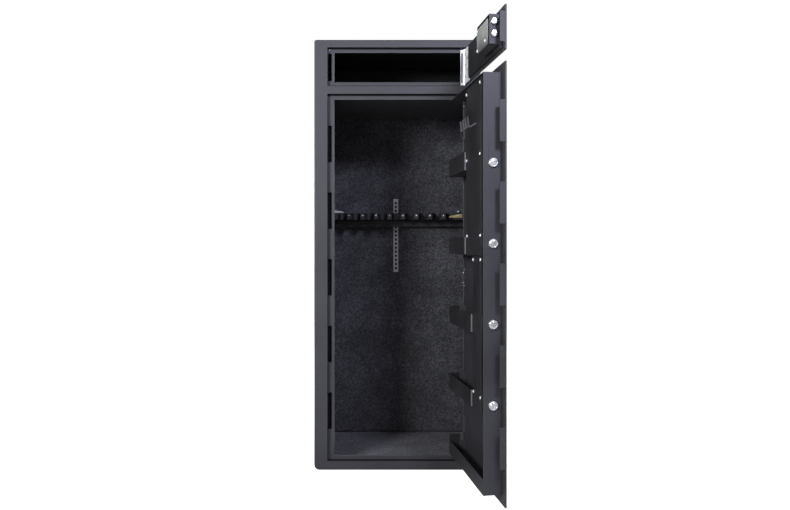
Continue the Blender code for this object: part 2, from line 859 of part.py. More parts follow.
def make_upper_door(pivot, steel):
    low, high = UPPER_OPENING[0] + DOOR_GAP, UPPER_OPENING[1] - DOOR_GAP
    make_door_plate(
        "upper_door_plate",
        (low, high),
        0.0060,
        [UPPER_MIDDLE_Z],
        UPPER_TAB_HEIGHT,
        [],
        [(UPPER_KEY_S, UPPER_KEY_Z, 0.0077)],
        steel["paint"],
        pivot,
    )
    mesh = bmesh.new()
    door_box(mesh, (0.073, 0.456), (PLATE + GAP, 0.012), (low + 0.009, high - 0.009))
    panel = put("upper_door_panel", mesh, steel["cover"], pivot)
    cut = bmesh.new()
    add_rod(cut, (-UPPER_KEY_S, UPPER_KEY_Z), 0.0077, -0.01, 0.02, "Y", 24)
    join_to(panel, put("upper_door_panel_cutter", cut, parent=pivot), "DIFFERENCE")
    make_upper_lock(pivot, steel)


def make_upper_lock(pivot, steel):
    """A surface lock: two round bolts on a carrier, thrown by the key."""
    t_low, t_high = UPPER_CASE_T
    z_low, z_high = UPPER_CASE_Z
    wall = 0.002
    mesh = bmesh.new()
    door_box(mesh, (UPPER_CASE_S, WALL_S), (t_low, t_high), (z_low, z_high))
    case = put("upper_lock_case", mesh, steel["paint"], pivot)
    hollow = bmesh.new()
    door_box(
        hollow,
        (UPPER_CASE_S + wall, WALL_S - wall),
        (t_low + wall, t_high + 0.01),
        (z_low + wall, z_high - wall),
    )
    join_to(case, put("upper_lock_case_hollow", hollow, parent=pivot), "DIFFERENCE")
    holes = bmesh.new()
    for z in UPPER_BOLT_Z:
        add_rod(holes, (UPPER_BOLT_T - PIVOT_T, z), UPPER_BOLT_RADIUS + 0.0006,
                -WALL_S - 0.01, -WALL_S + 0.01, "X", 28)
    add_rod(holes, (-UPPER_KEY_S, UPPER_KEY_Z), 0.0077, t_low - 0.02, t_low + 0.01 - PIVOT_T, "Y", 24)
    join_to(case, put("upper_lock_case_holes", holes, parent=pivot), "DIFFERENCE")

    s0, s1 = UPPER_CASE_S + 0.004, WALL_S - 0.010
    z0, z1, clip = z_low + 0.002, z_high - 0.010, 0.012
    outline = [
        (-s0, z0 + clip),
        (-s0, z1 - clip),
        (-s0 - clip, z1),
        (-s1, z1),
        (-s1, z0),
        (-s0 - clip, z0),
    ]
    cover = bmesh.new()
    add_prism(cover, outline, t_high + GAP - PIVOT_T, t_high + 0.002 - PIVOT_T, "Y")
    put("upper_lock_cover", cover, steel["zinc"], pivot)

    slide = bpy.data.objects.new("upper_bolts_slide", None)
    bpy.context.scene.collection.objects.link(slide)
    slide.parent = pivot
    carrier_s = (0.3790, 0.3870)
    for number, z in enumerate(UPPER_BOLT_Z, 1):
        mesh = bmesh.new()
        rings = [
            (-WALL_S - BOLT_PROUD, UPPER_BOLT_RADIUS - 0.001),
            (-WALL_S - BOLT_PROUD + 0.001, UPPER_BOLT_RADIUS),
            (-carrier_s[1] - GAP, UPPER_BOLT_RADIUS),
        ]
        add_stack(mesh, (UPPER_BOLT_T - PIVOT_T, z), rings, "X", 28)
        put(f"upper_bolt_{number}", mesh, steel["chrome"], slide, smooth=True)
    mesh = bmesh.new()
    door_box(
        mesh,
        carrier_s,
        (UPPER_BOLT_T - 0.009, UPPER_BOLT_T + 0.009),
        (UPPER_BOLT_Z[0] - 0.012, UPPER_BOLT_Z[1] + 0.012),
    )
    carrier = put("upper_bolt_carrier", mesh, steel["zinc"], slide)
    step = 2 * math.pi * UPPER_PINION_RADIUS / 10
    gear_t = (UPPER_BOLT_T - 0.007 - PIVOT_T, UPPER_BOLT_T - 0.001 - PIVOT_T)
    rack = bmesh.new()
    outline = rack_outline(
        -carrier_s[0] - 0.002,
        -0.3250,
        UPPER_KEY_Z + UPPER_PINION_RADIUS,
        UPPER_KEY_Z + UPPER_PINION_RADIUS + 0.008,
        -UPPER_KEY_S,
        step,
        0.0018,
        0.0027,
    )
    add_prism(rack, outline, gear_t[0], gear_t[1], "Y")
    join_to(carrier, put("upper_rack", rack, parent=slide))
    key_axis = make_key_lock(
        "upper_key", (UPPER_KEY_S, UPPER_KEY_Z), 0.007, UPPER_BOLT_T - 0.0075, pivot, steel
    )
    mesh = bmesh.new()
    add_prism(
        mesh,
        gear_outline((0, 0), UPPER_PINION_RADIUS, 10, 0.0018, 0.0027, math.pi / 2),
        gear_t[0],
        gear_t[1],
        "Y",
    )
    put("upper_pinion", mesh, steel["zinc"], key_axis)


def hang_door(name):
    """An empty on the hinge line, turned to the open angle."""
    pivot = bpy.data.objects.new(name, None)
    bpy.context.scene.collection.objects.link(pivot)
    pivot.location = Vector((PIVOT_X, FRONT + PIVOT_T, 0))
    pivot.rotation_euler = (0, 0, OPEN_ANGLE)
    return pivot


clear_scene()
steel = {
    "paint": finish("charcoal_paint", (0.055, 0.055, 0.065), 0.5, 0.0),
    "cover": finish("inner_paint", (0.030, 0.030, 0.034), 0.55, 0.0),
    "dark": finish("black_paint", (0.012, 0.012, 0.012), 0.6, 0.0),
    "zinc": finish("zinc_plate", (0.60, 0.60, 0.56), 0.35, 1.0),
    "chrome": finish("chrome_plate", (0.80, 0.80, 0.82), 0.12, 1.0),
}
carpet = finish("carpet", (0.040, 0.042, 0.055), 0.95, 0.0)
board = finish("fibre_board", (0.10, 0.08, 0.06), 0.8, 0.0)
rack_plastic = finish("rack_plastic", (0.015, 0.015, 0.016), 0.6, 0.0)

make_body_wrap(steel["paint"])
make_back_panel(steel["paint"])
make_front_frame(steel["paint"])
make_stop_frame(
    "main_stop_frame",
    MAIN_OPENING,
    MAIN_STOP_HEIGHT,
    [(z, SLOT_HEIGHT) for z in tab_heights()],
    steel["paint"],
)
make_stop_frame(
    "upper_stop_frame",
    UPPER_OPENING,
    UPPER_STOP_HEIGHT,
    [(UPPER_MIDDLE_Z, UPPER_SLOT_HEIGHT)],
    steel["paint"],
)
make_inside(steel["paint"], board, carpet)
make_barrel_rack(steel, rack_plastic)
main_pivot = hang_door("main_door_pivot")
upper_pivot = hang_door("upper_door_pivot")
make_main_hinges(main_pivot, (steel["zinc"], steel["chrome"]))
make_upper_hinge(upper_pivot, (steel["zinc"], steel["chrome"]))
make_main_door(main_pivot, steel)
make_upper_door(upper_pivot, steel)
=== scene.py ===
import json
import math

import bpy
import numpy as np
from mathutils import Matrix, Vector


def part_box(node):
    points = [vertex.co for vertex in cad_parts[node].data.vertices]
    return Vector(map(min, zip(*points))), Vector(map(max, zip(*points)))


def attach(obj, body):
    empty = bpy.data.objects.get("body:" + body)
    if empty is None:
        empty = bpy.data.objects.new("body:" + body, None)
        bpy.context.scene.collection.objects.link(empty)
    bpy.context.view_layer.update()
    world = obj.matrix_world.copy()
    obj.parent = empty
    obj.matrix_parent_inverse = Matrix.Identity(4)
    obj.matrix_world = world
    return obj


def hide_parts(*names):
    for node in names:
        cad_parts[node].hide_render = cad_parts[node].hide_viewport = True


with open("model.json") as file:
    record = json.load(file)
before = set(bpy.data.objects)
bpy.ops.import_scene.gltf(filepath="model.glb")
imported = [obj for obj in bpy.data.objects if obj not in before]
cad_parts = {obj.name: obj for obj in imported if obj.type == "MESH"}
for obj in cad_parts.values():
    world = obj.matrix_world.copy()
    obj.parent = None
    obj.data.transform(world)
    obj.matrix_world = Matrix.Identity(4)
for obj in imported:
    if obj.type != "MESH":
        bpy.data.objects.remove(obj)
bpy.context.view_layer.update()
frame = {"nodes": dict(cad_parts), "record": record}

# --- Body shell -------------------------------------------------------------------------
# Sides, top and base are one sheet of 3 mm steel folded into a tube; the back, the front
# frame and the strips that the doors close against are welded into it. All of it is
# powder coated in charcoal with a fine leathery grain.


def new_group(name, inputs, outputs):
    """An empty shader node group with its sockets, and its input and output nodes."""
    group = bpy.data.node_groups.new(name, "ShaderNodeTree")
    for label, value in inputs:
        socket = group.interface.new_socket(label, in_out="INPUT", socket_type="NodeSocketFloat")
        socket.default_value = value
    for label in outputs:
        group.interface.new_socket(label, in_out="OUTPUT", socket_type="NodeSocketFloat")
    return group, group.nodes.new("NodeGroupInput"), group.nodes.new("NodeGroupOutput")


def coat_grain_group():
    """Grain is a tight noise for the coat's surface. Shade is the tone: 0.4 of the grain
    plus 0.6 of slow patches."""
    group, source, result = new_group(
        "coat_grain", [("Grain Size", 0.001), ("Patch Size", 0.16)], ["Grain", "Shade"]
    )
    nodes, links = group.nodes, group.links
    place = nodes.new("ShaderNodeTexCoord")
    noises = []
    for label, detail in (("Grain Size", 2.0), ("Patch Size", 5.0)):
        scale = nodes.new("ShaderNodeMath")
        scale.operation = "DIVIDE"
        scale.inputs[0].default_value = 1.0
        links.new(source.outputs[label], scale.inputs[1])
        noise = nodes.new("ShaderNodeTexNoise")
        noise.inputs["Detail"].default_value = detail
        links.new(place.outputs["Object"], noise.inputs["Vector"])
        links.new(scale.outputs[0], noise.inputs["Scale"])
        noises.append(noise)
    share = nodes.new("ShaderNodeMath")
    share.operation = "MULTIPLY"
    share.inputs[1].default_value = 0.4
    links.new(noises[0].outputs["Fac"], share.inputs[0])
    total = nodes.new("ShaderNodeMath")
    total.operation = "MULTIPLY_ADD"
    total.inputs[1].default_value = 0.6
    links.new(noises[1].outputs["Fac"], total.inputs[0])
    links.new(share.outputs[0], total.inputs[2])
    links.new(noises[0].outputs["Fac"], result.inputs["Grain"])
    links.new(total.outputs[0], result.inputs["Shade"])
    return group


coat_grain = coat_grain_group()


def between(nodes, links, value, low, high):
    """A value carried from the range 0.35 to 0.65 into the range low to high."""
    step = nodes.new("ShaderNodeMapRange")
    step.inputs["From Min"].default_value = 0.35
    step.inputs["From Max"].default_value = 0.65
    step.inputs["To Min"].default_value = low
    step.inputs["To Max"].default_value = high
    links.new(value, step.inputs["Value"])
    return step.outputs["Result"]


def coated(name, dark, light, rough, grain_size, depth, patch_size=0.16):
    """A finish whose colour and roughness follow the grain group, with its grain as bump."""
    material = bpy.data.materials.new(name)
    material.use_nodes = True
    nodes, links = material.node_tree.nodes, material.node_tree.links
    shader = nodes["Principled BSDF"]
    grain = nodes.new("ShaderNodeGroup")
    grain.node_tree = coat_grain
    grain.inputs["Grain Size"].default_value = grain_size
    grain.inputs["Patch Size"].default_value = patch_size
    colour = nodes.new("ShaderNodeMix")
    colour.data_type = "RGBA"
    colour.inputs[6].default_value = (*dark, 1)
    colour.inputs[7].default_value = (*light, 1)
    links.new(between(nodes, links, grain.outputs["Shade"], 0.0, 1.0), colour.inputs[0])
    links.new(colour.outputs[2], shader.inputs["Base Color"])
    links.new(between(nodes, links, grain.outputs["Shade"], *rough), shader.inputs["Roughness"])
    bump = nodes.new("ShaderNodeBump")
    bump.inputs["Distance"].default_value = depth
    links.new(grain.outputs["Grain"], bump.inputs["Height"])
    links.new(bump.outputs["Normal"], shader.inputs["Normal"])
    return material


charcoal = coated(
    "charcoal_coat", dark=(0.021, 0.021, 0.023), light=(0.033, 0.033, 0.037),
    rough=(0.50, 0.64), grain_size=0.0019, depth=0.00016,
)


def finish(node, material, edge):
    """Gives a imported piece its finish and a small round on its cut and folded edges."""
    piece = frame["nodes"][node]
    piece.data.materials.clear()
    piece.data.materials.append(material)
    weld = piece.modifiers.new("weld", "WELD")
    weld.merge_threshold = 0.00002
    bevel = piece.modifiers.new("edge_round", "BEVEL")
    bevel.width = edge
    bevel.segments = 3
    bevel.limit_method = "ANGLE"
    bevel.angle_limit = math.radians(40)


for node in (
    "body_wrap", "back_panel", "front_frame",
    "main_stop_frame", "upper_stop_frame", "divider_shelf",
):
    finish(node, charcoal, edge=0.0009)

# --- Linings ----------------------------------------------------------------------------
# Needle-punch carpet, about 5 mm, glued to the back and side walls and laid on the floor
# board. Its short dark blue-grey pile is flecked with lighter fibres.


def pile_group():
    """Fibre is a fine noise pushed to high contrast. Fleck is coarser, and picks out the
    light clumps. Wear is slow patches of trodden or brushed pile."""
    group, source, result = new_group(
        "carpet_pile", [("Fibre Size", 0.0016), ("Fleck Size", 0.006)], ["Fibre", "Fleck", "Wear"]
    )
    nodes, links = group.nodes, group.links
    place = nodes.new("ShaderNodeTexCoord")
    for label, size, detail, low, high in (
        ("Fibre", "Fibre Size", 3.0, 0.30, 0.70),
        ("Fleck", "Fleck Size", 3.0, 0.40, 0.66),
        ("Wear", None, 4.0, 0.35, 0.65),
    ):
        noise = nodes.new("ShaderNodeTexNoise")
        noise.inputs["Detail"].default_value = detail
        noise.inputs["Roughness"].default_value = 0.6
        links.new(place.outputs["Object"], noise.inputs["Vector"])
        if size:
            scale = nodes.new("ShaderNodeMath")
            scale.operation = "DIVIDE"
            scale.inputs[0].default_value = 1.0
            links.new(source.outputs[size], scale.inputs[1])
            links.new(scale.outputs[0], noise.inputs["Scale"])
        else:
            noise.inputs["Scale"].default_value = 9.0
        stretch = nodes.new("ShaderNodeMapRange")
        stretch.inputs["From Min"].default_value = low
        stretch.inputs["From Max"].default_value = high
        links.new(noise.outputs["Fac"], stretch.inputs["Value"])
        links.new(stretch.outputs["Result"], result.inputs[label])
    return group


carpet_pile = pile_group()


def carpet_finish(name, dark, light, fleck_size):
    """Dark pile mixed towards its light colour, by 0.45 of the fibre plus 0.55 of the fleck,
    times the wear."""
    material = bpy.data.materials.new(name)
    material.use_nodes = True
    nodes, links = material.node_tree.nodes, material.node_tree.links
    shader = nodes["Principled BSDF"]
    shader.inputs["Roughness"].default_value = 0.95
    shader.inputs["Specular IOR Level"].default_value = 0.2
    shader.inputs["Sheen Weight"].default_value = 0.12
    shader.inputs["Sheen Roughness"].default_value = 0.5
    pile = nodes.new("ShaderNodeGroup")
    pile.node_tree = carpet_pile
    pile.inputs["Fleck Size"].default_value = fleck_size
    fleck = nodes.new("ShaderNodeMath")
    fleck.operation = "MULTIPLY"
    fleck.inputs[1].default_value = 0.55
    links.new(pile.outputs["Fleck"], fleck.inputs[0])
    speckle = nodes.new("ShaderNodeMath")
    speckle.operation = "MULTIPLY_ADD"
    speckle.inputs[1].default_value = 0.45
    links.new(pile.outputs["Fibre"], speckle.inputs[0])
    links.new(fleck.outputs[0], speckle.inputs[2])
    wear = nodes.new("ShaderNodeMapRange")
    wear.inputs["To Min"].default_value = 0.65
    wear.inputs["To Max"].default_value = 1.15
    links.new(pile.outputs["Wear"], wear.inputs["Value"])
    worn = nodes.new("ShaderNodeMath")
    worn.operation = "MULTIPLY"
    links.new(speckle.outputs[0], worn.inputs[0])
    links.new(wear.outputs["Result"], worn.inputs[1])
    colour = nodes.new("ShaderNodeMix")
    colour.data_type = "RGBA"
    colour.inputs[6].default_value = (*dark, 1)
    colour.inputs[7].default_value = (*light, 1)
    links.new(worn.outputs[0], colour.inputs[0])
    links.new(colour.outputs[2], shader.inputs["Base Color"])
    bump = nodes.new("ShaderNodeBump")
    bump.inputs["Distance"].default_value = 0.0016
    links.new(pile.outputs["Fibre"], bump.inputs["Height"])
    links.new(bump.outputs["Normal"], shader.inputs["Normal"])
    return material


wall_carpet = carpet_finish(
    "wall_carpet", dark=(0.007, 0.007, 0.008), light=(0.158, 0.159, 0.174), fleck_size=0.0052
)
side_carpet = carpet_finish(
    "side_carpet", dark=(0.004, 0.004, 0.005), light=(0.110, 0.111, 0.122), fleck_size=0.0052
)
floor_carpet = carpet_finish(
    "floor_carpet", dark=(0.004, 0.004, 0.005), light=(0.180, 0.180, 0.202), fleck_size=0.0080
)


def add_mesh(name, points, faces, material, body, smooth=True):
    """Puts an array of points and faces into a piece that rides on a body."""
    mesh = bpy.data.meshes.new(name)
    mesh.from_pydata(np.asarray(points, float).tolist(), [], [list(map(int, f)) for f in faces])
    mesh.materials.append(material)
    mesh.polygons.foreach_set("use_smooth", np.full(len(mesh.polygons), smooth))
    mesh.update()
    piece = bpy.data.objects.new(name, mesh)
    bpy.context.scene.collection.objects.link(piece)
    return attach(piece, body)


def grid_quads(rows, columns, wrap=False):
    """The four corner numbers of each cell of a grid of points. With wrap, the last column
    joins the first."""
    i, j = np.meshgrid(
        np.arange(rows - 1), np.arange(columns if wrap else columns - 1), indexing="ij"
    )
    k = (j + 1) % columns
    near, far = i * columns, (i + 1) * columns
    return np.stack([near + j, near + k, far + k, far + j], -1).reshape(-1, 4)


def soft_noise(rows, columns, reach, seed):
    """Random heights from -1 to 1, averaged with their neighbours reach times."""
    values = np.random.default_rng(seed).uniform(-1, 1, (rows, columns))
    for _ in range(reach):
        above, beside = np.roll(values, 1, 0), np.roll(values, 1, 1)
        values = (values + above + beside + np.roll(values, (1, 1), (0, 1))) / 4
    return values / np.abs(values).max()


def lay_carpet(node, facing, material, seed, pitch=0.006):
    """A slab over the node's box, as one grid for the pile and one for its backing. On the
    face that looks along facing (an axis and a sign), each point is sunk by the noise, and
    the rim rolls over: it drops by the square of how near the edge it is."""
    low, high = (np.array(v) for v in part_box(node))
    axis, sign = facing
    across = [a for a in range(3) if a != axis]
    size = high - low
    rows, columns = (int(size[a] / pitch) + 2 for a in across)
    wide, tall = size[across[0]], size[across[1]]
    u, v = np.meshgrid(np.linspace(0, 1, rows), np.linspace(0, 1, columns), indexing="ij")
    edge = np.minimum(np.minimum(u, 1 - u) * wide, np.minimum(v, 1 - v) * tall)
    roll_width = 0.012
    roll = np.clip(1 - edge / roll_width, 0, 1) ** 2
    tufts = 0.0005 * soft_noise(rows, columns, 1, seed)
    waves = 0.0004 * soft_noise(rows, columns, 9, seed + 1)
    sink = np.clip(0.0006 + tufts + waves + 0.5 * size[axis] * roll, 0, 0.8 * size[axis])
    points = np.empty((2, rows, columns, 3))
    points[..., across[0]] = low[across[0]] + u * wide
    points[..., across[1]] = low[across[1]] + v * tall
    points[0, ..., axis] = (high[axis] - sink) if sign > 0 else (low[axis] + sink)
    points[1, ..., axis] = low[axis] if sign > 0 else high[axis]
    rim = np.concatenate([
        np.arange(columns),
        np.arange(1, rows) * columns + columns - 1,
        (rows - 1) * columns + np.arange(columns - 2, -1, -1),
        np.arange(rows - 2, 0, -1) * columns,
    ])
    after = np.roll(rim, -1)
    under = rows * columns
    pile = grid_quads(rows, columns)
    skirt = np.stack([after, rim, under + rim, under + after], -1)
    faces = np.concatenate([pile, pile[:, ::-1] + under, skirt])
    if (sign > 0) != (axis == 1):
        faces = faces[:, ::-1]
    piece = add_mesh(node + "_pile", points.reshape(-1, 3), faces.tolist(), material, "safe_body")
    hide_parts(node)


lay_carpet("back_carpet", (1, -1), wall_carpet, seed=1)
lay_carpet("left_carpet", (0, 1), side_carpet, seed=3)
lay_carpet("right_carpet", (0, -1), side_carpet, seed=5)
lay_carpet("floor_carpet", (2, 1), floor_carpet, seed=7)

# Painted shade: the ceiling takes a much darker copy of the carpet, for the shade on its underside.
shaded_ceiling_felt = carpet_finish(
    "shaded_ceiling_felt", dark=(0.003, 0.003, 0.0035), light=(0.026, 0.026, 0.029), fleck_size=0.0075
)
raw_board = coated(
    "raw_board", dark=(0.075, 0.048, 0.028), light=(0.150, 0.100, 0.060),
    rough=(0.75, 0.9), grain_size=0.002, depth=0.0002,
)
finish("floor_board", raw_board, edge=0.001)
finish("ceiling_board", shaded_ceiling_felt, edge=0.002)

# --- Zinc-plated fittings inside --------------------------------------------------------
# The boltwork behind the covers and the lock cases are pressed or turned steel with zinc
# plating, slightly clouded where it was handled.


def clouded_group():
    """Cloud is slow plating stain, and Brushed is noise drawn out along z into fine lines."""
    group, source, result = new_group(
        "clouded_plating", [("Cloud Size", 0.03), ("Line Size", 0.0006)], ["Cloud", "Brushed"]
    )
    nodes, links = group.nodes, group.links
    place = nodes.new("ShaderNodeTexCoord")
    for label, size, stretch in (
        ("Cloud", "Cloud Size", (1, 1, 1)), ("Brushed", "Line Size", (1, 1, 0.05))
    ):
        scale = nodes.new("ShaderNodeMath")
        scale.operation = "DIVIDE"
        scale.inputs[0].default_value = 1.0
        links.new(source.outputs[size], scale.inputs[1])
        turn = nodes.new("ShaderNodeMapping")
        turn.inputs["Scale"].default_value = stretch
        noise = nodes.new("ShaderNodeTexNoise")
        noise.inputs["Detail"].default_value = 4.0
        links.new(place.outputs["Object"], turn.inputs["Vector"])
        links.new(turn.outputs["Vector"], noise.inputs["Vector"])
        links.new(scale.outputs[0], noise.inputs["Scale"])
        links.new(noise.outputs["Fac"], result.inputs[label])
    return group


clouded_plating = clouded_group()


def plated(
    name, dark, light, rough, cloud_size=0.03, line_size=0.0006, depth=0.00003, metallic=1.0
):
    """Plated metal: colour and roughness follow the cloud, and the brushed lines are its
    bump."""
    material = bpy.data.materials.new(name)
    material.use_nodes = True
    nodes, links = material.node_tree.nodes, material.node_tree.links
    shader = nodes["Principled BSDF"]
    shader.inputs["Metallic"].default_value = metallic
    plating = nodes.new("ShaderNodeGroup")
    plating.node_tree = clouded_plating
    plating.inputs["Cloud Size"].default_value = cloud_size
    plating.inputs["Line Size"].default_value = line_size
    colour = nodes.new("ShaderNodeMix")
    colour.data_type = "RGBA"
    colour.inputs[6].default_value = (*dark, 1)
    colour.inputs[7].default_value = (*light, 1)
    links.new(between(nodes, links, plating.outputs["Cloud"], 0.0, 1.0), colour.inputs[0])
    links.new(colour.outputs[2], shader.inputs["Base Color"])
    links.new(between(nodes, links, plating.outputs["Cloud"], *rough), shader.inputs["Roughness"])
    bump = nodes.new("ShaderNodeBump")
    bump.inputs["Distance"].default_value = depth
    links.new(plating.outputs["Brushed"], bump.inputs["Height"])
    links.new(bump.outputs["Normal"], shader.inputs["Normal"])
    return material


zinc = plated(
    "zinc_plate", dark=(0.42, 0.44, 0.41), light=(0.66, 0.67, 0.63),
    rough=(0.26, 0.44),
)
bright_zinc = plated(
    "bright_zinc", dark=(0.78, 0.78, 0.80), light=(0.92, 0.92, 0.93),
    rough=(0.40, 0.58), metallic=0.35,
)
yellow_zinc = plated(
    "yellow_zinc", dark=(0.52, 0.40, 0.18), light=(0.72, 0.60, 0.34),
    rough=(0.30, 0.45), metallic=0.6,
)
for node in (
    "bolt_bar", "bar_guide", "handle_spindle", "drive_pinion", "main_lock_case",
    "upper_bolt_carrier", "upper_pinion",
):
    finish(node, zinc, edge=0.0004)

# --- Barrel rack ------------------------------------------------------------------------
# A black moulded comb screwed to a folded rail, which hangs on a punched strip on the back
# wall. Each finger has a pressed stud at its tip, and a pressed bracket holds each end.


def spin(profile, centres, axis, sides=24, sink=None):
    """Turned pieces, one at each centre. The profile is pairs of radius and height. Each
    inner pair is a ring: the centre, plus height along the axis, plus radius towards each
    angle round it. The first and last pairs are the poles. sink takes the two distances
    across the axis and gives how far the surface drops there."""
    axis = np.asarray(axis, float) / np.linalg.norm(axis)
    first = np.cross(axis, (0, 0, 1) if abs(axis[2]) < 0.9 else (1, 0, 0))
    first = first / np.linalg.norm(first)
    second = np.cross(axis, first)
    profile = np.asarray(profile, float)
    angle = np.linspace(0, 2 * np.pi, sides, endpoint=False)
    x = np.concatenate([[0], (profile[1:-1, :1] * np.cos(angle)).ravel(), [0]])
    y = np.concatenate([[0], (profile[1:-1, :1] * np.sin(angle)).ravel(), [0]])
    h = np.concatenate([profile[:1, 1], np.repeat(profile[1:-1, 1], sides), profile[-1:, 1]])
    if sink:
        h = h - sink(x, y)
    one = x[:, None] * first + y[:, None] * second + h[:, None] * axis
    j = np.arange(sides)
    k = (j + 1) % sides
    last = len(one) - 1
    base = last - sides
    faces = (grid_quads(len(profile) - 2, sides, wrap=True) + 1).tolist()
    faces += np.stack([np.zeros_like(j), 1 + k, 1 + j], -1).tolist()
    faces += np.stack([np.full_like(j, last), base + j, base + k], -1).tolist()
    return gather([(one + centre, faces) for centre in np.atleast_2d(centres)])


def gather(parts):
    """One list of points and one of faces from several, each part's faces counted on."""
    points, faces, count = [], [], 0
    for part_points, part_faces in parts:
        points.append(part_points)
        faces += [[count + i for i in face] for face in part_faces]
        count += len(part_points)
    return np.concatenate(points), faces


def swept(path, section, side):
    """Carries a closed section along a path. Each ring is the path's point, plus the
    section's first number along the side direction (kept square to the path), plus its
    second along the direction square to both. The ends close on the path's ends."""
    path = np.asarray(path, float)
    run = np.gradient(path, axis=0)
    run = run / np.linalg.norm(run, axis=1, keepdims=True)
    across = side - (run @ np.asarray(side, float))[:, None] * run
    across = across / np.linalg.norm(across, axis=1, keepdims=True)
    square = np.cross(run, across)
    section = np.broadcast_to(section, (len(path),) + np.shape(section)[-2:])
    rings = path[:, None] + section[..., :1] * across[:, None] + section[..., 1:] * square[:, None]
    sides = rings.shape[1]
    points = np.concatenate([path[:1], rings.reshape(-1, 3), path[-1:]])
    j = np.arange(sides)
    k = (j + 1) % sides
    last = len(points) - 1
    base = last - sides
    faces = (grid_quads(len(path), sides, wrap=True) + 1).tolist()
    faces += np.stack([np.zeros_like(j), 1 + k, 1 + j], -1).tolist()
    faces += np.stack([np.full_like(j, last), base + j, base + k], -1).tolist()
    return points, faces


def round_section(radius, sides=12):
    """A circle of points: the radius towards each angle round it."""
    angle = np.linspace(0, 2 * np.pi, sides, endpoint=False)
    return radius * np.stack([np.cos(angle), np.sin(angle)], -1)


def oblong_section(width, height, corner=0.0003, steps=3):
    """A rectangle whose corners are quarter circles: each corner's centre plus the radius
    towards angles that run a quarter turn."""
    angle = np.linspace(0, np.pi / 2, steps)
    turn = np.concatenate([angle + q * np.pi / 2 for q in range(4)])
    sx = np.repeat([1, -1, -1, 1], steps) * (width / 2 - corner)
    sy = np.repeat([1, 1, -1, -1], steps) * (height / 2 - corner)
    return np.stack([sx + corner * np.cos(turn), sy + corner * np.sin(turn)], -1)


rack_plastic = coated(
    "rack_plastic", dark=(0.005, 0.005, 0.006), light=(0.010, 0.010, 0.011),
    rough=(0.55, 0.7), grain_size=0.0010, depth=0.00010,
)
finish("barrel_rack", rack_plastic, edge=0.0025)
# Painted shade: the rail is near black, for the shadow that falls under the comb.
black_paint = coated(
    "black_paint", dark=(0.006, 0.006, 0.007), light=(0.013, 0.013, 0.014),
    rough=(0.45, 0.6), grain_size=0.0015, depth=0.00010,
)
finish("rack_rail", black_paint, edge=0.0008)
dull_beige = coated(
    "dull_beige_coat", dark=(0.42, 0.415, 0.385), light=(0.58, 0.570, 0.520),
    rough=(0.55, 0.75), grain_size=0.0020, depth=0.00008, patch_size=0.05,
)
finish("rack_standard", dull_beige, edge=0.0004)

rack_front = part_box("barrel_rack")[0][1]
first_notch_x, notch_pitch, stud_z = -0.2163, 0.0532, 0.901
finger_x = first_notch_x + notch_pitch * (np.arange(1, 10) - 0.5)
stud = [
    (0, -0.0006), (0.0030, -0.0006), (0.0032, 0.0004), (0.0028, 0.0014), (0.0016, 0.0021),
    (0, 0.0023),
]
studs = add_mesh(
    "rack_studs",
    *spin(stud, [(x, rack_front - 0.0001, stud_z) for x in finger_x], (0, -1, 0), 16),
    bright_zinc, "safe_body",
)


def tapered_bracket(name, x_from, x_to, z_low, z_high, y, thick, material):
    """A pressed plate whose height grows from a fifth to full along its run, as the square
    root of the distance."""
    u = np.linspace(0, 1, 14)
    tall = (0.2 + 0.8 * np.sqrt(u)) * (z_high - z_low)
    path = np.stack([x_from + u * (x_to - x_from), np.full_like(u, y), z_low + tall / 2], -1)
    shape = oblong_section(1, 1, 0.02)
    sections = shape[None] * np.stack([np.full_like(u, thick), tall], -1)[:, None, :]
    plate = swept(path, sections, (0, 1, 0))
    return add_mesh(name, *plate, material, "safe_body", smooth=False)


for piece in (
    tapered_bracket(
        "rack_bracket_right", x_from=0.2046, x_to=0.2560, z_low=0.8925, z_high=0.9070,
        y=rack_front - 0.0012, thick=0.0016, material=yellow_zinc,
    ),
    tapered_bracket(
        "rack_bracket_left", x_from=-0.2110, x_to=-0.2550, z_low=0.9125, z_high=0.9215,
        y=rack_front + 0.006, thick=0.0016, material=dull_beige,
    ),
):
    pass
eyelet = add_mesh(
    "rack_eyelet", *spin(stud, [(0.2415, rack_front + 0.004, 0.9165)], (0, -1, 0), 16),
    bright_zinc, "safe_body",
)

# --- Hems, shade strips and shade plates of the openings --------------------------------
# The strips that the doors close against end in a rolled hem, painted pale as a highlight.
# Black strips of painted shade lie under the top and over the bottom edge of each opening.
# Behind each tab slot stands a short black plate of painted shade; the bolts pass between them.
# Painted highlight: the hem is painted paler than the coat, for the light along its edge.
hem_highlight_coat = coated(
    "hem_highlight_coat", dark=(0.040, 0.040, 0.043), light=(0.085, 0.085, 0.090),
    rough=(0.35, 0.50), grain_size=0.0019, depth=0.00008, patch_size=0.05,
)
# Painted shade: a near-black finish for strips and plates that stand for the shade in the openings'
# gaps and the tab slots.
shade_black = coated(
    "shade_black", dark=(0.003, 0.003, 0.003), light=(0.007, 0.007, 0.007),
    rough=(0.75, 0.9), grain_size=0.0008, depth=0.00010,
)
shade_black.node_tree.nodes["Principled BSDF"].inputs["Specular IOR Level"].default_value = 0.1
strip_thickness = 0.0026
hem_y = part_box("main_stop_frame")[1][1] - strip_thickness
hem = round_section(0.0013, 10)
lock_side, hinge_side = -0.2215, 0.2314
# Painted shade: near-black strips along the top and bottom edges of each opening.
shade_strip = oblong_section(0.0066, 0.0030, 0.0008)
shade_strip_from, shade_strip_to, shade_strip_y = -0.2400, 0.2180, -0.2150
hem_parts, shade_strip_parts = [], []
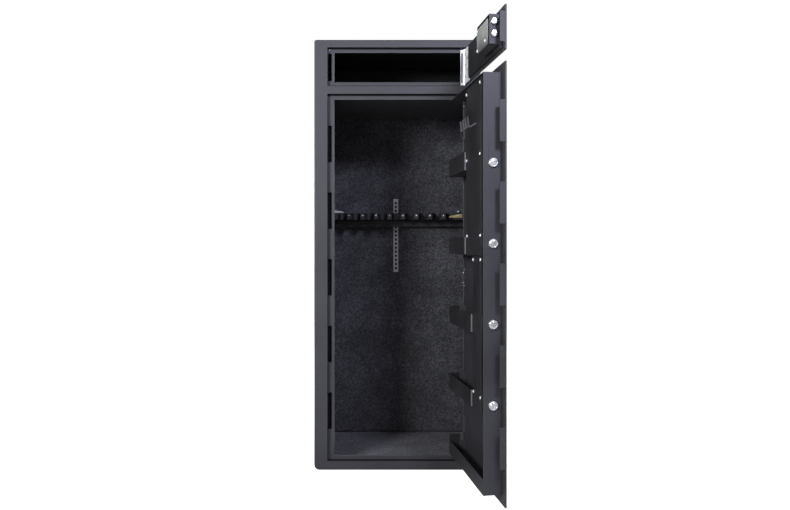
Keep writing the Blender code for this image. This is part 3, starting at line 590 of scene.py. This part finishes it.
# Each row has the lower and upper edge of an opening, then of the gap inside its strips.
for low_edge, high_edge, low_stop, high_stop in (
    (0.031, 1.311, 0.048, 1.294), (1.338, 1.473, 1.353, 1.458)
):
    for z in (low_stop, high_stop):
        run = np.linspace((lock_side, hem_y, z), (hinge_side, hem_y, z), 24)
        hem_parts.append(swept(run, hem, (0, 1, 0)))
    for x in (lock_side, hinge_side):
        rise = np.linspace((x, hem_y, low_stop), (x, hem_y, high_stop), 24)
        hem_parts.append(swept(rise, hem, (0, 1, 0)))
    for z in (low_edge + 0.0016, high_edge - 0.0018):
        run = np.linspace((shade_strip_from, shade_strip_y, z), (shade_strip_to, shade_strip_y, z), 24)
        shade_strip_parts.append(swept(run, shade_strip, (0, 1, 0)))
hems = add_mesh("stop_hems", *gather(hem_parts), hem_highlight_coat, "safe_body")
shade_strips = add_mesh("opening_shade_strips", *gather(shade_strip_parts), shade_black, "safe_body", smooth=False)
# Painted shade: a near-black plate behind each tab slot darkens the slot.
shade_plate = oblong_section(0.0230, 0.0010)
shade_plate_x, shade_plate_y, shade_plate_lap = -0.2352, -0.1995, 0.010
shade_plate_parts = []
for opening in frame["record"]["physics"]["openings"]:
    if opening["name"].startswith("tab_slot"):
        (_, _, slot_low), (_, _, slot_high) = opening["box_m"]
        foot = (shade_plate_x, shade_plate_y, slot_low - shade_plate_lap)
        head = (shade_plate_x, shade_plate_y, slot_high + shade_plate_lap)
        shade_plate_parts.append(swept(np.linspace(foot, head, 12), shade_plate, (1, 0, 0)))
shade_plates = add_mesh("slot_shade_plates", *gather(shade_plate_parts), shade_black, "safe_body", smooth=False)

# --- Main door shell --------------------------------------------------------------------
# A 5 mm plate with a folded pan welded to its back. The plate's lock edge has five tabs
# that pass into slots of the frame, and the pan carries the bolts and the trays.
for node in ("main_door_plate", "door_pan"):
    finish(node, charcoal, edge=0.0008)
# Painted shade: covers and trays take a darker copy of the charcoal coat, for the shade they stand
# in.
shaded_inner_coat = coated(
    "shaded_inner_coat", dark=(0.010, 0.010, 0.0105), light=(0.019, 0.019, 0.020),
    rough=(0.44, 0.60), grain_size=0.0019, depth=0.00014,
)
door_trays = [f"door_tray_{i}" for i in range(1, 6)]
for node in ["boltwork_cover_upper", "boltwork_cover_lower"] + door_trays:
    finish(node, shaded_inner_coat, edge=0.0007)

# Both doors turn on one line and stand at one angle, so one set of directions serves both.
door_axis = np.array([0.2345, -0.2185, 0.0])
axis_depth = 0.0065
along_door = np.array([0.14436, -0.98953, 0.0])
into_door = np.array([-0.98953, -0.14436, 0.0])
outward = -into_door


def on_door(s, t, z):
    """The point s along the open door from its hinge axis, t in from its outer face, at z:
    the axis, plus s along the door, plus t less the axis's own depth into it."""
    s, t, z = np.broadcast_arrays(np.asarray(s, float), t, z)
    place = door_axis + s[..., None] * along_door + (t[..., None] - axis_depth) * into_door
    place[..., 2] = z
    return place


# --- Cover screws -----------------------------------------------------------------------
# White zinc pan-head screws with a cross recess hold the two boltwork covers: four at the
# corners of the upper one, four along the seam, and two at the foot of the lower one.


def cross_recess(x, y):
    """The full depth where a point lies within the half width of either of two crossing
    lines, out to the reach from the middle."""
    half_width, reach, depth = 0.00055, 0.0024, 0.0011
    arm = np.minimum(np.abs(x), np.abs(y)) < half_width
    return np.where(arm & (np.hypot(x, y) < reach), depth, 0.0)


screw_head = [
    (0, -0.0004), (0.0044, -0.0004), (0.0047, 0.0003), (0.0047, 0.0012), (0.0043, 0.0020),
    (0.0037, 0.0025), (0.0030, 0.0028), (0.0024, 0.0029), (0.0019, 0.0030), (0.0014, 0.0030),
    (0.0009, 0.0030), (0.0004, 0.0030), (0, 0.0030),
]
cover_face = 0.0541
upper_cover_spots = [(0.224, 1.260), (0.387, 1.2655), (0.387, 1.054), (0.224, 1.051)]
seam_spots = [(0.230, 0.812), (0.3925, 0.812), (0.307, 0.739), (0.394, 0.740)]
lower_cover_spots = [(0.311, 0.336), (0.3925, 0.333)]
spots = np.array(upper_cover_spots + seam_spots + lower_cover_spots)
heads = spin(
    screw_head, on_door(spots[:, 0], cover_face, spots[:, 1]), into_door, 32, cross_recess
)
screws = add_mesh("cover_screws", *heads, bright_zinc, "main_door")

# --- Key hooks --------------------------------------------------------------------------
# A grey pressed comb for keys: four flat hooks stand on a rail, and the rail's long foot is
# spot-welded to the face of the upper cover.
hook_grey = coated(
    "hook_grey", dark=(0.085, 0.085, 0.090), light=(0.140, 0.140, 0.148),
    rough=(0.40, 0.55), grain_size=0.0012, depth=0.00005,
)
hook_t = 0.0568
rail = on_door(np.linspace(0.152, 0.272, 8), hook_t, 1.1555)
rail_foot = on_door(np.linspace(0.256, 0.341, 8), 0.0550, 1.1515)
hook_parts = [
    swept(rail, oblong_section(0.0014, 0.0050), into_door),
    swept(rail_foot, oblong_section(0.0014, 0.0060), into_door),
]
# Each hook rises from the rail and leans out from the door as the square of its height.
u = np.linspace(0, 1, 14)
for s in (0.160, 0.192, 0.224, 0.256):
    rise = on_door(s, hook_t + 0.0030 * u ** 2, 1.157 + 0.029 * u)
    hook_parts.append(swept(rise, oblong_section(0.0012, 0.0190), into_door))
hooks = add_mesh("key_hooks", *gather(hook_parts), hook_grey, "main_door", smooth=False)

# --- Tray end trims ---------------------------------------------------------------------
# The four upper trays end beside the covers. An edging strip of painted sheet is folded over
# the cut end of each one's front wall; its pale grey is a painted highlight on the cut end.
trim_highlight_grey = coated(
    "trim_highlight_grey", dark=(0.16, 0.16, 0.168), light=(0.24, 0.24, 0.25),
    rough=(0.40, 0.55), grain_size=0.0012, depth=0.00005,
)
trim = oblong_section(0.0042, 0.0010)
trim_t, trim_lap = 0.0577, 0.0006
trim_parts = []
for i, tray_end in ((1, 0.2180), (2, 0.2180), (3, 0.3000), (4, 0.3000)):
    low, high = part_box(f"door_tray_{i}")
    heights = np.linspace(low[2] + 0.001, high[2] - 0.001, 12)
    trim_parts.append(swept(on_door(tray_end + trim_lap, trim_t, heights), trim, into_door))
trims = add_mesh("tray_end_trims", *gather(trim_parts), trim_highlight_grey, "main_door", smooth=False)

# --- Main door hinges -------------------------------------------------------------------
# Three pairs of leaves welded to the frame and the plate, and coated with the door. The
# middle one has a bright wire stirrup, which stands on the door's leaf and goes into a
# window in the body's leaf when the door is shut.
for level in ("top", "middle", "bottom"):
    for part in ("body_leaf", "door_leaf", "pin"):
        finish(f"main_hinge_{level}_{part}", charcoal, edge=0.0004)

stirrup_s, leaf_face, stirrup_rise = 0.0080, 0.0115, 0.0032
stirrup_low, stirrup_high = 0.6532, 0.6888
# The wire runs up the door as the sine of half a turn, and stands out from the leaf by its
# rise times a low power of the cosine.
turn = np.linspace(-np.pi / 2, np.pi / 2, 25)
bow_path = on_door(
    stirrup_s, leaf_face + stirrup_rise * np.cos(turn) ** 0.35,
    (stirrup_low + stirrup_high) / 2 + (stirrup_high - stirrup_low) / 2 * np.sin(turn),
)
chrome = plated(
    "bright_chrome", dark=(0.74, 0.74, 0.76), light=(0.86, 0.86, 0.88),
    rough=(0.08, 0.18), cloud_size=0.02, line_size=0.0008, depth=0.00001,
)
bow = swept(bow_path, round_section(0.0010, 10), along_door)
stirrup = add_mesh("hinge_stirrup", *bow, chrome, "main_door")
nut = [
    (0, -0.0015), (0.0014, -0.0015), (0.0018, -0.0011), (0.0018, 0.0011), (0.0014, 0.0015),
    (0, 0.0015),
]
nut_spots = on_door(stirrup_s, leaf_face + 0.0005, np.array([stirrup_low, stirrup_high]))
nuts = add_mesh(
    "hinge_stirrup_nuts", *spin(nut, nut_spots, (0, 0, 1), 6),
    bright_zinc, "main_door", smooth=False,
)
finish("main_hinge_middle_pin", zinc, edge=0.0003)

# --- Locking bolts ----------------------------------------------------------------------
# Four turned bolts of 28 mm with satin plating. Each nose has a bright chamfer, a ring cut
# by the lathe and a slightly hollow centre.
bolt_shine = plated(
    "satin_bolt", dark=(0.66, 0.66, 0.67), light=(0.86, 0.86, 0.86),
    rough=(0.24, 0.38), cloud_size=0.006, line_size=0.0007, depth=0.00006, metallic=0.9,
)


def turned_bolt(name, node, foot_s, t, nose, sides, body):
    """Spins the nose's profile along the door from foot_s, at the height of the node that
    it replaces, and rounds its edges slightly."""
    low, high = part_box(node)
    foot = on_door(foot_s, t, (low[2] + high[2]) / 2)
    bolt = add_mesh(name, *spin(nose, foot, along_door, sides), bolt_shine, body)
    edge = bolt.modifiers.new("edge", "BEVEL")
    edge.width = 0.00015
    edge.limit_method = "ANGLE"
    edge.angle_limit = math.radians(35)
    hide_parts(node)


bolt_t, bolt_foot, bolt_tip = 0.0310, 0.3998, 0.4535
reach = bolt_tip - bolt_foot
bolt_nose = [
    (0, 0), (0.0134, 0), (0.0139, 0.0006), (0.0139, reach - 0.0030), (0.0136, reach - 0.0024),
    (0.0118, reach - 0.0003), (0.0112, reach), (0.0098, reach), (0.0095, reach - 0.0005),
    (0.0088, reach - 0.0005), (0.0085, reach - 0.0001), (0.0040, reach - 0.0004),
    (0, reach - 0.0006),
]
for i in range(1, 5):
    turned_bolt(
        f"bolt_{i}", f"locking_bolt_{i}", bolt_foot, bolt_t, bolt_nose, 64, "main_bolts"
    )

# --- Handle -----------------------------------------------------------------------------
# A cast lever on the outside of the main door, chrome plated: a domed hub with a tapered
# arm that hangs down and swells towards its tip.
hub_z = 0.9000
hub_s = 0.3200
hub = [
    (0, 0.0045), (0.0160, 0.0045), (0.0200, 0.0056), (0.0209, 0.0075), (0.0209, 0.0120),
    (0.0200, 0.0150), (0.0170, 0.0168), (0.0150, 0.0172), (0.0146, 0.0230), (0.0142, 0.0290),
    (0.0130, 0.0325), (0.0090, 0.0348), (0.0040, 0.0356), (0, 0.0358),
]
# The arm narrows and swells again as sine curves down its length, bows out from the door as
# a squared sine, and closes at its tip as a quarter circle.
u = np.linspace(0, 1, 40)
arm_length = 0.1190
bulge = 0.0255 + 0.0050 * np.sin(np.pi * np.clip(u * 1.1, 0, 1)) ** 2
arm_path = on_door(hub_s, -bulge, hub_z - 0.002 - arm_length * u)
half_wide = 0.0105 - 0.0035 * np.sin(np.pi * np.clip(1.25 * u, 0, 1)) + 0.0015 * u
half_thick = 0.0066 - 0.0016 * np.sin(np.pi * np.clip(1.2 * u, 0, 1))
close = np.sqrt(np.clip(1 - ((u - 0.93) / 0.07).clip(0, 1) ** 2, 0.0004, 1))
arm_size = np.stack([half_wide * close, half_thick * close], -1)
arm_section = round_section(1.0, 28)[None] * arm_size[:, None, :]
lever = add_mesh(
    "lever",
    *gather([
        spin(hub, on_door(hub_s, 0.0, hub_z), outward, 64),
        swept(arm_path, arm_section, along_door),
    ]),
    chrome, "main_handle",
)
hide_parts("handle_lever")

# --- Key lock of the main door ----------------------------------------------------------
# A chrome rosette and the handle's escutcheon are pressed and screwed to the outside of the
# plate. The plug turns in the rosette, and has a keyway.
finish("handle_escutcheon", chrome, edge=0.0012)
finish("main_key_rosette", chrome, edge=0.0012)


def keyway(x, y):
    """The full depth within the half width of the upright middle line, out to the reach
    from the middle."""
    half_width, reach, depth = 0.0008, 0.0052, 0.0030
    return np.where((np.abs(y) < half_width) & (np.abs(x) < reach), depth, 0.0)


def key_plug(name, s, z, t_inner, t_outer, radius, body, node):
    """A turned plug from t_inner out to t_outer, with closely spaced rings on its face so
    that the keyway has clean sides."""
    length = t_inner - t_outer
    face = [(r, length) for r in np.linspace(radius - 0.0008, 0.0002, 24)]
    barrel = [(0, 0), (radius - 0.0003, 0), (radius - 0.0002, length - 0.0008)]
    turned = spin(barrel + face + [(0, length)], on_door(s, t_inner, z), outward, 96, keyway)
    piece = add_mesh(name, *turned, chrome, body)
    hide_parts(node)


key_plug(
    "main_plug", s=0.3200, z=1.0300, t_inner=0.0045, t_outer=-0.0062, radius=0.0080,
    body="main_key", node="main_key_plug",
)

# --- Upper door -------------------------------------------------------------------------
# The same plate with a shallow dark panel inside. Its lock case is charcoal too, and the
# plated cover over the case is held by screws.
for node in ("upper_door_plate", "upper_lock_case"):
    finish(node, charcoal, edge=0.0007)
# Painted shade: the panel takes the same darker copy of the coat as the covers.
finish("upper_door_panel", shaded_inner_coat, edge=0.0006)
cover_zinc = plated(
    "cover_zinc", dark=(0.25, 0.262, 0.24), light=(0.35, 0.362, 0.335),
    rough=(0.42, 0.56), cloud_size=0.05, line_size=0.0009, depth=0.00003, metallic=0.1,
)
# Painted shade: the cover's colour is darkened towards its lower edge.
nodes, links = cover_zinc.node_tree.nodes, cover_zinc.node_tree.links
place = nodes.new("ShaderNodeTexCoord")
apart = nodes.new("ShaderNodeSeparateXYZ")
lower_edge_shade = nodes.new("ShaderNodeMapRange")
lower_edge_shade.inputs["From Min"].default_value = 1.366
lower_edge_shade.inputs["From Max"].default_value = 1.404
lower_edge_shade.inputs["To Min"].default_value = 0.30
lower_edge_shade.inputs["To Max"].default_value = 1.0
shade_multiply = nodes.new("ShaderNodeMix")
shade_multiply.data_type = "RGBA"
shade_multiply.blend_type = "MULTIPLY"
shade_multiply.inputs[0].default_value = 1.0
plain = nodes["Principled BSDF"].inputs["Base Color"].links[0].from_socket
links.new(place.outputs["Object"], apart.inputs[0])
links.new(apart.outputs["Z"], lower_edge_shade.inputs["Value"])
links.new(plain, shade_multiply.inputs[6])
links.new(lower_edge_shade.outputs["Result"], shade_multiply.inputs[7])
links.new(shade_multiply.outputs[2], nodes["Principled BSDF"].inputs["Base Color"])
finish("upper_lock_cover", cover_zinc, edge=0.0004)
case_face = 0.0451
upper_spots = np.array([(0.4107, 1.3810), (0.3230, 1.3735), (0.3215, 1.4330)])
heads = spin(
    screw_head, on_door(upper_spots[:, 0], case_face, upper_spots[:, 1]), into_door, 32,
    cross_recess,
)
upper_screws = add_mesh("upper_cover_screws", *heads, bright_zinc, "upper_door")
small_rivet = [
    (0, -0.0004), (0.0022, -0.0004), (0.0022, 0.0006), (0.0016, 0.0013), (0.0008, 0.0016),
    (0, 0.0017),
]
rivet = add_mesh(
    "upper_cover_rivet",
    *spin(small_rivet, on_door(0.3355, case_face, 1.3835), into_door, 16),
    zinc, "upper_door",
)

small_t, small_foot = 0.0278, 0.3873
reach = bolt_tip - small_foot
small_nose = [
    (0, 0), (0.0098, 0), (0.0102, 0.0005), (0.0102, reach - 0.0022), (0.0100, reach - 0.0017),
    (0.0088, reach - 0.0002), (0.0083, reach), (0.0040, reach), (0, reach),
]
for i in (1, 2):
    turned_bolt(
        f"small_bolt_{i}", f"upper_bolt_{i}", small_foot, small_t, small_nose, 48, "upper_bolts"
    )

finish("upper_key_rosette", chrome, edge=0.0010)
key_plug(
    "upper_plug", s=0.3450, z=1.3925, t_inner=0.0203, t_outer=-0.0062, radius=0.0069,
    body="upper_key", node="upper_key_plug",
)

# --- Upper hinge ------------------------------------------------------------------------
# One tall hinge in bright zinc, left unpainted. Countersunk screws and a flat rivet hold its
# door leaf. Two small screws hold the strips that the doors close against.
for part in ("body_leaf", "door_leaf", "pin"):
    finish(f"upper_hinge_{part}", bright_zinc, edge=0.0004)
sunk_head = [
    (0, -0.0003), (0.0046, -0.0003), (0.0047, 0.0002), (0.0044, 0.0006), (0.0036, 0.0008),
    (0.0028, 0.0009), (0.0022, 0.0009), (0.0016, 0.0009), (0.0010, 0.0009), (0.0004, 0.0009),
    (0, 0.0009),
]
leaf_spots = np.array([
    (0.030, 1.366), (0.030, 1.404), (0.030, 1.443), (0.055, 1.385), (0.055, 1.424),
])
heads = spin(
    sunk_head, on_door(leaf_spots[:, 0], leaf_face + 0.0001, leaf_spots[:, 1]), into_door, 32,
    cross_recess,
)
leaf_screws = add_mesh("upper_hinge_screws", *heads, zinc, "upper_door")
flat_rivet = [
    (0, -0.0003), (0.0042, -0.0003), (0.0042, 0.0002), (0.0038, 0.0005), (0.0020, 0.0006),
    (0, 0.0006),
]
leaf_rivet = add_mesh(
    "upper_hinge_rivet",
    *spin(flat_rivet, on_door(0.0268, leaf_face + 0.0001, 1.3505), into_door, 24),
    bright_zinc, "upper_door",
)
frame_spots = [(0.2325, hem_y, 1.2700), (-0.2376, hem_y, 1.4660)]
frame_screws = add_mesh(
    "stop_frame_screws", *spin(small_rivet, frame_spots, (0, -1, 0), 16),
    bright_zinc, "safe_body",
)

# --- Studio -----------------------------------------------------------------------------
# A pale floor and a pale surround, brighter in front and above. Two soft lamps stand in
# front, the right one tinted blue, and three light the sides and the back.
world = bpy.data.worlds.new("studio")
bpy.context.scene.world = world
world.use_nodes = True
nodes, links = world.node_tree.nodes, world.node_tree.links
surround = nodes["Background"]
surround.inputs["Color"].default_value = (1, 1, 1, 1)
looking = nodes.new("ShaderNodeTexCoord")
toward = nodes.new("ShaderNodeVectorMath")
toward.operation = "DOT_PRODUCT"
toward.inputs[1].default_value = (0.0, -0.85, 0.53)
links.new(looking.outputs["Generated"], toward.inputs[0])
fall = nodes.new("ShaderNodeMapRange")
fall.inputs["From Min"].default_value = -0.6
fall.inputs["From Max"].default_value = 1.0
fall.inputs["To Min"].default_value = 0.08
fall.inputs["To Max"].default_value = 0.40
links.new(toward.outputs["Value"], fall.inputs["Value"])
links.new(fall.outputs["Result"], surround.inputs["Strength"])
backdrop = nodes.new("ShaderNodeBackground")
backdrop.inputs["Color"].default_value = (1, 1, 1, 1)
backdrop.inputs["Strength"].default_value = 1.02
seen = nodes.new("ShaderNodeLightPath")
either = nodes.new("ShaderNodeMixShader")
links.new(seen.outputs["Is Camera Ray"], either.inputs[0])
links.new(surround.outputs[0], either.inputs[1])
links.new(backdrop.outputs[0], either.inputs[2])
links.new(either.outputs[0], nodes["World Output"].inputs["Surface"])

floor_mesh = bpy.data.meshes.new("studio_floor")
floor_mesh.from_pydata([(-60, -60, 0), (60, -60, 0), (60, 60, 0), (-60, 60, 0)], [], [(0, 1, 2, 3)])
floor = bpy.data.objects.new("studio_floor", floor_mesh)
bpy.context.scene.collection.objects.link(floor)
floor_finish = bpy.data.materials.new("pale_floor")
floor_finish.use_nodes = True
nodes, links = floor_finish.node_tree.nodes, floor_finish.node_tree.links
shader = nodes["Principled BSDF"]
shader.inputs["Base Color"].default_value = (0.45, 0.45, 0.45, 1)
shader.inputs["Roughness"].default_value = 0.9
glow = nodes.new("ShaderNodeEmission")
glow.inputs["Strength"].default_value = 0.90
both = nodes.new("ShaderNodeAddShader")
seen = nodes.new("ShaderNodeLightPath")
either = nodes.new("ShaderNodeMixShader")
links.new(shader.outputs[0], both.inputs[0])
links.new(glow.outputs[0], both.inputs[1])
links.new(seen.outputs["Is Camera Ray"], either.inputs[0])
links.new(shader.outputs[0], either.inputs[1])
links.new(both.outputs[0], either.inputs[2])
links.new(either.outputs[0], nodes["Material Output"].inputs["Surface"])
floor_mesh.materials.append(floor_finish)


def soft_lamp(name, place, aim, size, power, colour=(1, 1, 1)):
    """A square area lamp at a place, turned to face the aim point."""
    data = bpy.data.lights.new(name, "AREA")
    data.shape = "SQUARE"
    data.size = size
    data.energy = power
    data.color = colour
    lamp = bpy.data.objects.new(name, data)
    bpy.context.scene.collection.objects.link(lamp)
    lamp.location = place
    lamp.rotation_euler = (Vector(aim) - Vector(place)).to_track_quat("-Z", "Y").to_euler()


pale_blue, near_white = (0.76, 0.78, 1.0), (0.92, 0.93, 1.0)
soft_lamp("right_lamp", (0.78, -2.08, 2.15), (0.1, -0.3, 1.1), 0.35, 41, pale_blue)
soft_lamp("rear_lamp", (1.5, 2.9, 2.2), (0.1, 0.1, 0.8), 1.6, 90)
soft_lamp("far_right_lamp", (3.0, -0.2, 2.0), (0.3, -0.2, 0.8), 1.4, 70)
soft_lamp("far_left_lamp", (-2.6, 2.2, 1.1), (-0.2, 0.1, 0.8), 1.4, 80)
soft_lamp("left_lamp", (-1.75, -2.4, 1.60), (0.1, -0.1, 0.85), 0.7, 80, near_white)

scene = bpy.context.scene
scene.view_settings.view_transform = "Standard"
camera_data = bpy.data.cameras.new("camera")
camera_data.lens = 33.1
camera_data.sensor_width = 36
camera_data.shift_y = -0.0111
camera = bpy.data.objects.new("camera", camera_data)
scene.collection.objects.link(camera)
camera.location = (-0.0084, -2.755, 0.780)
camera.rotation_euler = (math.radians(90), 0, 0)
scene.camera = camera
